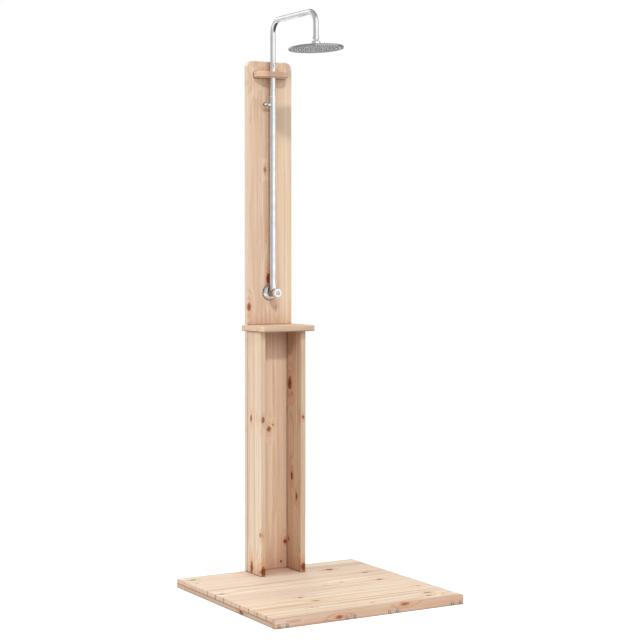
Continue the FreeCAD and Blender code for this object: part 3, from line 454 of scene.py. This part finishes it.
def pine(name, axes, stave_start, stave_width, tones, knots=(), seed=0.0, seams=(), contrast=1.0,
         pale_edges=0.0, wash=None):
    """Planed pine. axes gives the grain's direction, the width and the depth of the board.

    tones holds a number for each stave, 0 pale and 1 warm. seams are the places, each an axis, its
    value and a reach, where a narrow painted shadow marks a joint or an edge. contrast scales the
    streaks and rings, pale_edges is how far the board's long edges are bleached, and wash is a colour
    and how far it tints the board before its coloured bands.
    """
    material, graph, shader, place = new_material(name)
    grain = Grain(graph, place, axes)

    # Staves: each its own tree, so its rings, tone and streaks are its own
    count = graph.calc("DIVIDE", graph.minus(grain.across, stave_start), stave_width)
    index = graph.calc("FLOOR", count)
    within = graph.minus(count, index)
    centre = graph.add(stave_start, graph.times(stave_width, graph.add(index, 0.5)))
    chances = graph.random(graph.add(index, seed))
    first, second = chances[:2]
    tone = stave_tone(graph, index, tones)
    shares, swell = knot_shares(graph, grain.point, axes, knots)
    late = late_wood(grain, centre, chances, swell, seed)

    # Broad streaks, fine fibres and soft patches
    streak = grain.noise(*streak_noise, shift=graph.times(first, streak_between_staves))
    fibre = grain.noise(*fibre_noise)
    patch = grain.noise(*patch_noise, layer=seed)
    tone_push = graph.minus(graph.times(tone, tone_warmth), tone_offset)
    warmth = graph.calc("ADD", graph.smooth(streak, *streak_levels), tone_push, clamp=True)
    colour = graph.mix(warmth, pine_pale, pine_warm)
    rose = graph.times(graph.smooth(patch, *patch_levels), graph.times(tone, tone_rose))
    colour = graph.mix(rose, colour, pine_rosy)
    if wash:
        wash_colour, wash_share = wash
        colour = graph.mix(wash_share, colour, wash_colour)

    for band_colour, shift, along_scale, across_scale, low, high, most in grain_bands:
        band = grain.noise(along_scale, across_scale, band_detail, band_roughness,
                           shift=graph.times(second, shift), layer=seed)
        colour = graph.mix(graph.smooth(band, low, high, 0.0, most * contrast), colour, band_colour)
    late_share = graph.add(late_least_share, graph.times(streak, late_streak_share))
    line_share = graph.times(late, late_share)
    colour = graph.mix(graph.times(line_share, contrast), colour, latewood)
    grit = graph.times(graph.smooth(fibre, *fibre_levels), fibre_share)
    colour = graph.mix(grit, colour, latewood)
    if knots:
        halo_lines = graph.add(halo_least_share, graph.times(late, halo_late_share))
        colour = graph.mix(graph.times(shares["Halo"], halo_lines), colour, knot_halo)
        colour = graph.mix(shares["Core"], colour, knot_core)
        colour = graph.mix(graph.times(shares["Heart"], heart_share), colour, knot_heart)
        colour = graph.mix(graph.times(shares["Bark"], bark_share), colour, knot_bark)

    # End grain is darker, and the glue joints show there as dark lines
    normal = ordered(axes, graph.split(place.outputs["Normal"]))
    facing = [graph.calc("ABSOLUTE", share) for share in normal]
    ends = graph.smooth(facing[0], *facing_levels)
    colour = graph.mix(graph.times(ends, end_grain_share), colour, latewood)
    if pale_edges:
        edges = graph.smooth(facing[1], *facing_levels, 0.0, pale_edges)
        colour = graph.mix(edges, colour, pine_bleached)
    to_joint = graph.times(graph.calc("MINIMUM", within, graph.minus(1.0, within)), stave_width)
    joint_start = graph.add(joint_half_width, graph.times(ends, joint_end_widening))
    joint = graph.smooth(to_joint, joint_start, joint_core)
    joint_chance = graph.random(graph.add(graph.calc("ROUND", count), seed + 0.5))[0]
    opened = graph.smooth(joint_chance, *joint_open_levels)
    joint_share = graph.times(joint, graph.add(joint_face_share, graph.times(ends, opened)))
    colour = graph.mix(joint_share, colour, joint_and_shadow_line)
    # Painted shadow lines along seams and edges
    for axis, value, width in seams:
        order = axes.index(axis)
        position = (grain.along, grain.across, grain.deep)[order]
        reach = graph.calc("ABSOLUTE", graph.minus(position, value))
        beside = graph.smooth(facing[order], *beside_levels)
        line = graph.times(beside, graph.smooth(reach, width, width / 4, 0.0, seam_share))
        colour = graph.mix(line, colour, joint_and_shadow_line)

    # Painted shade: the column's recess is darkened and reddened, and narrow crevices are darkened
    recess = graph.times(graph.crevice(recess_reach, *recess_limits), recess_share)
    colour = graph.mix(recess, colour, recess_shade_brown, "MULTIPLY")
    crevice = graph.times(graph.crevice(crevice_reach), crevice_share)
    colour = graph.mix(crevice, colour, crevice_shade_brown)
    graph.feed(shader.inputs["Base Color"], colour)

    # Knots are a little glossier, and fibres and late wood stand up a little
    matt = graph.add(pine_roughness, graph.times(fibre, fibre_roughness))
    smoother = graph.times(shares["Core"], knot_smoothness)
    graph.feed(shader.inputs["Roughness"], graph.minus(matt, smoother))
    relief = graph.add(graph.times(fibre, fibre_relief), graph.times(late, late_relief))
    graph.feed(shader.inputs["Normal"], graph.bump(relief, relief_strength, relief_height))
    shader.inputs["Specular IOR Level"].default_value = pine_specular
    return material


def deck_knot(from_left, from_back, radius, strength=1.0, stretch=1.6):
    """Knot on the deck's top, measured in millimetres from its left and back edges."""
    return Knot(deck_left + from_left * MM, deck_back - from_back * MM, deck_top, radius, strength,
                into="z", stretch=stretch)


def fascia_knot(from_left, height, radius, strength=1.0, stretch=1.4):
    """Knot on the fascia's front face."""
    return Knot(deck_left + from_left * MM, fascia_front, height * MM, radius, strength,
                into="y", stretch=stretch)


def front_knot(x, height, radius, strength=1.0, stretch=1.7):
    """Knot on the tall board's front face. A very long, weak one is a streak."""
    return Knot(x * MM, board_front, height * MM, radius, strength, into="y", stretch=stretch)


def left_edge_knot(height, radius, strength):
    """Knot on the tall board's left edge."""
    return Knot(column_left, board_middle_y, height * MM, radius, strength, into="x")


def side_knot(face, back_from_front, height, radius, strength=1.0, stretch=1.7):
    """Knot on a face of a side board, measured back from the board's front edge."""
    return Knot(face, side_front + back_from_front * MM, height * MM, radius, strength,
                into="x", stretch=stretch)


def edge_knot(x, height, radius, strength=1.0, stretch=1.4):
    """Knot on the front edge of a side board."""
    return Knot(x, side_front, height * MM, radius, strength, into="y", stretch=stretch)


deck_knots = [
    deck_knot(37, 50, 7.0, 0.85),
    deck_knot(23, 107, 5.0, 0.35),
    deck_knot(527, 128, 9.0, 1.0),
    deck_knot(233, 20, 5.0, 0.3),
    deck_knot(613, 232, 7.0, 0.6, 2.4),
    deck_knot(23, 295, 7.0, 0.7),
    deck_knot(593, 356, 7.5, 0.8),
    deck_knot(457, 329, 5.0, 0.35),
    deck_knot(383, 349, 5.0, 0.3),
    deck_knot(217, 470, 6.0, 0.8),
    deck_knot(237, 534, 6.0, 0.55, 2.6),
    deck_knot(183, 608, 5.0, 0.5),
    deck_knot(650, 507, 5.0, 0.4),
    deck_knot(617, 611, 6.0, 0.6, 2.4),
    deck_knot(597, 651, 6.5, 0.6),
    deck_knot(383, 648, 4.5, 0.35),
]
fascia_knots = [
    fascia_knot(228, 12, 6.0, 0.6, 2.0),
    fascia_knot(471, 26, 6.0, 0.5, 2.4),
]
tall_knots = [
    front_knot(1, 1370, 4.0, 0.22, 80.0),
    front_knot(-18, 1433, 5.0, 0.5),
    front_knot(-4, 1055, 9.0, 1.0, 2.2),
    front_knot(-82, 955, 8.0, 0.75),
    front_knot(24, 947, 5.0, 0.25, 2.5),
    front_knot(-3, 524, 8.0, 0.7, 1.2),
    front_knot(13, 539, 4.5, 0.5, 0.8),
    front_knot(62, 124, 6.5, 0.85, 1.2),
    left_edge_knot(1732, 7.0, 0.6),
    left_edge_knot(528, 6.0, 0.5),
]
left_side_knots = [
    side_knot(column_left, 71, 570, 7.0, 0.75),
    side_knot(column_left, 5, 172, 5.0, 0.75),
    side_knot(column_left, 68, 50, 9.0, 1.0, 2.4),
    edge_knot(left_board_middle, 570, 6.5, 0.75),
    edge_knot(left_board_middle, 48, 9.0, 1.0, 1.7),
]
right_side_knots = [
    side_knot(right_board_inner, 80, 685, 12.0, 1.0, 1.8),
    side_knot(right_board_inner, 63, 649, 4.0, 0.4, 2.0),
    side_knot(right_board_inner, 65, 360, 7.0, 1.0, 2.2),
    side_knot(right_board_inner, 32, 290, 8.0, 0.8, 1.6),
    side_knot(right_board_inner, 87, 135, 5.0, 0.6, 1.4),
    edge_knot(right_board_middle, 572, 5.0, 0.8),
    edge_knot(right_board_middle, 48, 8.5, 1.0, 1.7),
]
joist_left_knots = [Knot(deck_left, deck_back - 476 * MM, 7 * MM, 7.0, 0.9, into="x", stretch=1.8)]

# Tones of the deck's staves from the back to the front
deck_tones = [0.65, 0.55, 0.7, 0.35, 0.1, 0.25, 0.5, 0.15, 0.4, 0.2, 0.45, 0.2]


def dress(name, material):
    """Gives a node its one material."""
    slots = nodes[name].data.materials
    slots.clear()
    slots.append(material)


def knots_near(knots, node):
    """The knots that lie within a node's box, or just beside it."""
    low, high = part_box(node)
    reach = 30 * MM
    return [knot for knot in knots
            if all(low[i] - reach < knot.place[i] < high[i] + reach for i in range(3))]


deck_start = deck_back - len(deck_tones) * deck_stave
# Painted shadow lines: the deck's layer joint and panel gap, the column's joints, and the bottom edges
# of the shelf and the pipe block
layer_seam = ("z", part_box("deck_panel_rear")[0].z, 1.9 * MM)
panel_gap_y = (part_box("deck_panel_rear")[0].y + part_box("deck_panel_middle")[1].y) / 2
panel_gap = ("y", panel_gap_y, 2.4 * MM)
column_seams = (("y", board_front, 3.0 * MM), ("z", deck_top, 1.5 * MM))
shelf_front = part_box("shelf")[0].y
shelf_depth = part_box("shelf")[1].y - shelf_front
shelf_edge = ("z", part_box("shelf")[0].z, 4.5 * MM)
block_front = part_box("pipe_block")[0].y
block_edge = ("z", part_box("pipe_block")[0].z, 3.6 * MM)

for name in ("deck_panel_rear", "deck_panel_middle", "deck_panel_front"):
    dress(name, pine("pine_" + name, "xyz", deck_start, deck_stave, deck_tones[::-1],
                     knots_near(deck_knots, name), seed=3.0, seams=(layer_seam, panel_gap),
                     contrast=1.2, wash=(pine_bleached, 0.7)))
dress("front_fascia", pine("pine_fascia", "xzy", 0.0, deck_top, [1.0], fascia_knots, seed=11.0,
                           contrast=1.4, wash=(fascia_wash, 0.2)))
dress("rear_rail", pine("pine_rail", "xyz", deck_back - deck_stave, deck_stave, [0.5], seed=17.0,
                        seams=(layer_seam,)))
dress("joist_left", pine("pine_joist_left", "yxz", deck_left, deck_stave, [0.5], joist_left_knots,
                         seed=19.0, seams=(layer_seam,)))
for number, name in enumerate(("joist_mid_left", "joist_mid_right", "joist_right")):
    dress(name, pine("pine_" + name, "yxz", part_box(name)[0].x, deck_stave, [0.5],
                     seed=23.0 + number, seams=(layer_seam,)))
dress("tall_board", pine("pine_tall_board", "zxy", column_left, column_stave, [0.5, 0.05, 0.5],
                         tall_knots, seed=31.0, contrast=0.85, pale_edges=0.7,
                         wash=(board_wash, 0.55)))
dress("side_board_left", pine("pine_side_left", "zyx", side_front, side_stave, [0.25, 0.35],
                              left_side_knots, seed=41.0, seams=column_seams))
dress("side_board_right", pine("pine_side_right", "zyx", side_front, side_stave, [0.7, 0.6],
                               right_side_knots, seed=43.0, seams=column_seams, contrast=1.3))
dress("shelf", pine("pine_shelf", "xyz", shelf_front, shelf_depth, [0.3], seed=53.0,
                    seams=(shelf_edge,), contrast=1.2, wash=(block_wash, 0.22)))
dress("pipe_block", pine("pine_block", "xyz", block_front, deck_stave, [0.6], seed=59.0,
                         seams=(block_edge,), contrast=1.3, wash=(block_wash, 0.5)))

# ---------------------------------------------------------------- metal, plastic and rubber


def metal(name, plate, polish, cloud_scale, painted_crevice_shade=0.0, shaded=None):
    """Metal whose colour and polish vary a little over the surface.

    plate is its two colours and polish its two roughnesses. The argument after cloud_scale is how far
    painted shade darkens it in its crevices. shaded is painted shade: a colour, a direction and two
    limits, and the surface takes the colour as the cosine between its normal and the direction goes
    from the first limit to the second. Where the first limit is the larger one, a normal that points
    the opposite way counts as the same.
    """
    material, graph, shader, place = new_material(name)
    cloud = graph.noise(place.outputs["Object"], cloud_scale, 3.0)
    colour = graph.mix(graph.smooth(cloud, *plate_levels), *plate)
    # Painted shade on the sides that turn away from the given direction
    if shaded:
        tone, toward, clear, full = shaded
        turned = graph.vector("DOT_PRODUCT", place.outputs["Normal"], toward)
        if clear > full:
            turned = graph.calc("ABSOLUTE", turned)
        colour = graph.mix(graph.smooth(turned, clear, full), colour, tone)
    # Painted shade in crevices
    if painted_crevice_shade:
        colour = graph.mix(graph.times(graph.crevice(painted_crevice_reach), painted_crevice_shade), colour, painted_shade_dark)
    graph.feed(shader.inputs["Base Color"], colour)
    graph.feed(shader.inputs["Roughness"], graph.smooth(cloud, *polish_levels, *polish))
    shader.inputs["Metallic"].default_value = 1.0
    return material


def moulded(name, pale, dark, roughness, grain_scale, relief):
    """Plastic, rubber or ceramic with a fine moulded grain."""
    material, graph, shader, place = new_material(name)
    grain = graph.noise(place.outputs["Object"], grain_scale, 3.0)
    cloud = graph.noise(place.outputs["Object"], grain_scale * moulded_cloud_share, 2.0)
    colour = graph.mix(graph.smooth(cloud, *moulded_levels), pale, dark)
    graph.feed(shader.inputs["Base Color"], colour)
    graph.feed(shader.inputs["Normal"], graph.bump(grain, relief, moulded_relief_height))
    smoothest = roughness - roughness_spread
    roughest = roughness + roughness_spread
    rough = graph.smooth(grain, *moulded_levels, smoothest, roughest)
    graph.feed(shader.inputs["Roughness"], rough)
    return material


# Noise levels between which the second colour or the rougher finish fades in
plate_levels = (0.35, 0.7)
polish_levels = (0.3, 0.75)
moulded_levels = (0.3, 0.7)

# How far the metals' painted crevice shade reaches, and the moulded finishes' cloud scale, relief
# height and spread of roughness
painted_crevice_reach = 14 * MM
moulded_cloud_share = 0.05
moulded_relief_height = 0.1 * MM
roughness_spread = 0.06

# Painted shade: near-black for crevices and the escutcheon's rim, and the colours that metals take on
# sides turned away from a direction
painted_shade_dark = srgb(46, 38, 34)
bend_shade = srgb(92, 86, 82)
neck_shade = srgb(156, 142, 130)
ball_shade = srgb(84, 76, 70)
shell_rim_shade = srgb(176, 177, 178)
screw_rim_shade = srgb(64, 58, 54)

chrome_plate = (srgb(240, 240, 240), srgb(230, 231, 232))
cap_plate = (srgb(206, 210, 216), srgb(184, 188, 194))
satin_plate = (srgb(226, 227, 228), srgb(214, 216, 218))
zinc_plate = (srgb(232, 233, 234), srgb(204, 206, 208))
domed_plate = (srgb(244, 240, 234), srgb(224, 220, 214))
dark_plate = (srgb(150, 146, 142), srgb(122, 118, 114))
brass_plate = (srgb(212, 176, 106), srgb(184, 146, 82))

pipe_polish = (0.05, 0.11)
knob_polish = (0.06, 0.12)
cap_polish = (0.12, 0.2)
neck_polish = (0.1, 0.2)
flange_polish = (0.2, 0.3)
satin_polish = (0.2, 0.28)
plate_clouds = 38.0
zinc_clouds = 420.0

up = (0.0, 0.0, 1.0)
front = (0.0, -1.0, 0.0)
inside_rear_bend = (0.0, -0.7071, -0.7071)
ball_front = (-0.35, -0.92, 0.16)
screw_shading = (screw_rim_shade, front, 0.9, 0.66)

chrome = metal("chrome", chrome_plate, pipe_polish, plate_clouds)
# Painted shade: inside the arm's rear bend, on the valve neck's sides, round the escutcheon's rim, on
# the clamp ball away from its front, on the head shell's rim and the screw heads' rims, and in the
# crevices of knob, escutcheon, ball, cap and screws
arm_chrome = metal("arm_chrome", chrome_plate, pipe_polish, plate_clouds,
                   shaded=(bend_shade, inside_rear_bend, 0.72, 0.9))
knob_chrome = metal("knob_chrome", chrome_plate, knob_polish, plate_clouds, painted_crevice_shade=0.95)
neck_chrome = metal("neck_chrome", chrome_plate, neck_polish, plate_clouds,
                    shaded=(neck_shade, front, 0.55, 0.25))
flange_chrome = metal("flange_chrome", chrome_plate, flange_polish, plate_clouds, painted_crevice_shade=0.95,
                      shaded=(painted_shade_dark, front, 0.66, 0.42))
ball_chrome = metal("ball_chrome", chrome_plate, knob_polish, plate_clouds, painted_crevice_shade=0.9,
                    shaded=(ball_shade, ball_front, 0.84, 0.6))
cap_chrome = metal("cap_chrome", cap_plate, cap_polish, plate_clouds, painted_crevice_shade=0.6)
satin_chrome = metal("satin_chrome", satin_plate, satin_polish, plate_clouds,
                     shaded=(shell_rim_shade, up, 0.75, 0.5))
zinc = metal("zinc", zinc_plate, (0.24, 0.42), zinc_clouds)
domed_zinc = metal("domed_zinc", domed_plate, (0.2, 0.34), zinc_clouds, painted_crevice_shade=0.5,
                   shaded=screw_shading)
dark_zinc = metal("dark_zinc", dark_plate, (0.3, 0.5), zinc_clouds, painted_crevice_shade=0.8, shaded=screw_shading)
brass = metal("brass", brass_plate, (0.2, 0.36), 260.0)
ceramic = moulded("ceramic", srgb(240, 238, 230), srgb(232, 228, 218), 0.3, 900.0, 0.05)
rubber = moulded("seal_rubber", srgb(34, 34, 35), srgb(24, 24, 25), 0.6, 1400.0, 0.3)
acetal = moulded("bearing_plastic", srgb(232, 231, 226), srgb(222, 220, 214), 0.42, 1100.0, 0.12)
grey_plate = moulded("grey_plate", srgb(124, 127, 126), srgb(112, 115, 114), 0.38, 800.0, 0.15)
silicone = moulded("nozzle_silicone", srgb(248, 249, 248), srgb(240, 242, 241), 0.45, 1000.0, 0.12)

finishes = {"zinc_steel": zinc, "chrome": chrome, "brass": brass, "ceramic": ceramic,
            "seal_rubber": rubber, "bearing_plastic": acetal, "grey_plate": grey_plate,
            "nozzle_silicone": silicone}
for part in frame["record"]["subparts"]:
    if part["material_slot"] in finishes:
        dress(part["node"], finishes[part["material_slot"]])
for name, finish in (("arm_tube", arm_chrome), ("valve_knob", knob_chrome), ("knob_cap", cap_chrome),
                     ("valve_body", neck_chrome), ("valve_bonnet", neck_chrome),
                     ("escutcheon", flange_chrome), ("thumbscrew", ball_chrome),
                     ("head_shell", satin_chrome), ("fascia_screws", domed_zinc),
                     ("foot_bolts", dark_zinc)):
    dress(name, finish)

# ---------------------------------------------------------------- inlet thread


def thread_form(turn, depth):
    """How far the thread's surface lies under its crest, at a number of turns past a crest."""
    root_flat = 0.15
    flank_width = 0.7
    flank = min(1.0, max(0.0, (abs(turn % 1.0 - 0.5) * 2 - root_flat) / flank_width))
    return depth * (1 - flank)


def threaded_tail():
    """The inlet tail with its pipe thread cut: plain fixing part, relief groove, thread and bore."""
    low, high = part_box("inlet_tail")
    mount = next(m for m in frame["record"]["mounts"] if m["name"] == "inlet_thread")
    axis_z = mount["pos_m"][2]
    crest = mount["dims"]["r_mm"] * MM
    thread_start = high.y - mount["dims"]["length_mm"] * MM
    relief_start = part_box("inlet_backnut")[1].y
    fixing = (high.x - low.x) / 2
    bore = 7.5 * MM
    pitch = 1.814 * MM
    depth = 1.162 * MM
    rows_per_turn = 12
    columns = 72
    sharp_angle = math.radians(40)
    root = crest - depth
    rows = round((high.y - thread_start) / pitch * rows_per_turn)

    def thread_radius(distance, turn):
        """The thread fades into its root over half a turn at both ends."""
        fade = min(1.0, min(distance, high.y - thread_start - distance) / (pitch / 2))
        return root + (depth - thread_form(distance / pitch + turn, depth)) * fade

    turns = [column / columns for column in range(columns)]
    rings = [(low.y, [fixing] * columns), (relief_start, [fixing] * columns),
             (relief_start, [root] * columns), (thread_start, [root] * columns)]
    for row in range(1, rows + 1):
        distance = (high.y - thread_start) * row / rows
        rings.append((thread_start + distance, [thread_radius(distance, turn) for turn in turns]))
    rings += [(high.y, [bore] * columns), (low.y, [bore] * columns)]

    points = []
    for y, radii in rings:
        for turn, radius in zip(turns, radii):
            angle = 2 * math.pi * turn
            points.append((radius * math.cos(angle), y, axis_z + radius * math.sin(angle)))
    faces = []
    for ring in range(len(rings)):
        here = ring * columns
        above = (ring + 1) % len(rings) * columns
        for column in range(columns):
            after = (column + 1) % columns
            faces.append((here + column, above + column, above + after, here + after))
    mesh = bpy.data.meshes.new("inlet_thread")
    mesh.from_pydata(points, [], faces)
    mesh.polygons.foreach_set("use_smooth", [True] * len(mesh.polygons))
    mesh.set_sharp_from_angle(angle=sharp_angle)
    tail = bpy.data.objects.new("inlet_thread", mesh)
    bpy.context.scene.collection.objects.link(tail)
    mesh.materials.append(brass)
    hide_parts("inlet_tail")
    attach(tail, "stand")


threaded_tail()

# ---------------------------------------------------------------- floor, light and sky

floor_half = 14.0
floor_drop = 0.5 * MM
floor_grey = (0.7, 0.7, 0.7, 1)
floor_lift = 0.52
mirrored_lift_share = 0.3
fade_start = 0.8
fade_end = 2.2

floor_mesh = bpy.data.meshes.new("floor")
floor_mesh.from_pydata([(-floor_half, -floor_half, 0), (floor_half, -floor_half, 0),
                        (floor_half, floor_half, 0), (-floor_half, floor_half, 0)], [], [(0, 1, 2, 3)])
floor = bpy.data.objects.new("floor", floor_mesh)
floor.location.z = -floor_drop
bpy.context.scene.collection.objects.link(floor)


def floor_material():
    """Pale floor that keeps its shadow. Where it is seen it is lifted, and far out it is white."""
    material = bpy.data.materials.new("pale_floor")
    material.use_nodes = True
    tree = material.node_tree
    tree.nodes.clear()
    graph = Graph(tree)
    path = graph.node("ShaderNodeLightPath").outputs
    seen = graph.calc("MAXIMUM", path["Is Camera Ray"], path["Is Transmission Ray"])
    mirrored = graph.times(path["Is Glossy Ray"], mirrored_lift_share)
    lifted = graph.calc("MAXIMUM", seen, mirrored)
    matt = graph.node("ShaderNodeBsdfDiffuse")
    matt.inputs["Color"].default_value = floor_grey
    glow = graph.node("ShaderNodeEmission")
    graph.feed(glow.inputs["Strength"], graph.times(lifted, floor_lift))
    both = graph.node("ShaderNodeAddShader")
    graph.feed(both.inputs[0], matt.outputs[0])
    graph.feed(both.inputs[1], glow.outputs[0])
    white = graph.node("ShaderNodeEmission")
    distance = graph.vector("LENGTH", graph.node("ShaderNodeTexCoord").outputs["Object"])
    far = graph.times(graph.smooth(distance, fade_start, fade_end), seen)
    ending = graph.node("ShaderNodeMixShader")
    graph.feed(ending.inputs[0], far)
    graph.feed(ending.inputs[1], both.outputs[0])
    graph.feed(ending.inputs[2], white.outputs[0])
    output = graph.node("ShaderNodeOutputMaterial")
    graph.feed(output.inputs["Surface"], ending.outputs[0])
    return material


floor_mesh.materials.append(floor_material())

lamp_target = Vector((0, 0, 1))


def soft_lamp(name, place, size, power):
    """Square soft light, aimed at the column's middle. Metal mirrors the sky instead of it."""
    data = bpy.data.lights.new(name, "AREA")
    data.shape = "SQUARE"
    data.size = size
    data.energy = power
    lamp = bpy.data.objects.new(name, data)
    lamp.location = place
    lamp.rotation_euler = (lamp_target - Vector(place)).to_track_quat("-Z", "Y").to_euler()
    lamp.visible_glossy = False
    bpy.context.scene.collection.objects.link(lamp)


soft_lamp("key_light", (-5.2, -16.0, 13.0), 1.2, 1560.0)
soft_lamp("front_light", (0.5, -4.6, 2.4), 2.5, 60.0)
soft_lamp("left_light", (-4.6, 1.1, 2.4), 2.4, 118.0)
soft_lamp("top_light", (0.3, 0.2, 6.0), 2.4, 114.0)
soft_lamp("back_light", (1.5, 6.0, 2.2), 2.6, 90.0)

world = bpy.data.worlds.new("studio")
bpy.context.scene.world = world
world.use_nodes = True

# What metal mirrors: bright panels in front and at the back left, warm grey turning to cool grey on the
# left, and grey overhead. Azimuths are in degrees, 0 straight in front and positive to the right, and
# heights are sines of the elevation.
front_panel = (-32, 77)
front_panel_softness = 8
back_panel_edge = (-138, -156)
panel_top_height = (0.86, 0.6)
cool_side = (10, -30)
plain_white = (1.0, 1.0, 1.0, 1)
panel_white = (1.12, 1.12, 1.12, 1)
warm_grey = (0.36, 0.34, 0.32, 1)
cool_grey = (0.50, 0.515, 0.53, 1)
fill_strength = 0.32


def studio_sky():
    """White where the camera looks, white and grey studio panels in metal, and an even fill light."""
    tree = world.node_tree
    tree.nodes.clear()
    graph = Graph(tree)
    direction = graph.node("ShaderNodeTexCoord").outputs["Generated"]
    x, y, z = graph.split(direction)
    azimuth = graph.calc("ARCTAN2", x, graph.times(y, -1.0))

    def between(start, end):
        """Eases from 0 to 1 while the azimuth goes from start to end."""
        return graph.smooth(azimuth, math.radians(start), math.radians(end))

    left, right = front_panel
    soft = front_panel_softness
    facing = graph.times(between(left - soft, left + soft), between(right + soft, right - soft))
    bright = graph.calc("MAXIMUM", facing, between(*back_panel_edge))
    bright = graph.times(bright, graph.smooth(z, *panel_top_height))
    grey = graph.mix(between(*cool_side), warm_grey, cool_grey)
    panels = graph.mix(bright, grey, panel_white)
    path = graph.node("ShaderNodeLightPath").outputs
    mirrored = graph.calc("MAXIMUM", path["Is Glossy Ray"], path["Is Transmission Ray"])
    background = graph.node("ShaderNodeBackground")
    graph.feed(background.inputs["Color"], graph.mix(mirrored, plain_white, panels))
    seen = graph.calc("MAXIMUM", path["Is Camera Ray"], mirrored)
    strength = graph.add(fill_strength, graph.times(seen, 1.0 - fill_strength))
    graph.feed(background.inputs["Strength"], strength)
    output = graph.node("ShaderNodeOutputWorld")
    graph.feed(output.inputs["Surface"], background.outputs[0])


studio_sky()

# ---------------------------------------------------------------- camera

deck_middle_y = (fascia_front + deck_back) / 2
camera_data = bpy.data.cameras.new("camera")
camera_data.sensor_width = sensor_width
camera_data.lens = focal_pixels / image_width * sensor_width
camera_data.shift_x = (image_width / 2 - principal_x) / image_width
camera_data.shift_y = (principal_y - image_height / 2) / image_width
camera = bpy.data.objects.new("camera", camera_data)
camera.location = (camera_distance * math.sin(camera_azimuth),
                   deck_middle_y - camera_distance * math.cos(camera_azimuth), camera_height)
camera.rotation_euler = (math.radians(90) - camera_pitch, 0, camera_azimuth)
bpy.context.scene.collection.objects.link(camera)
bpy.context.scene.camera = camera
bpy.context.scene.view_settings.view_transform = "Standard"
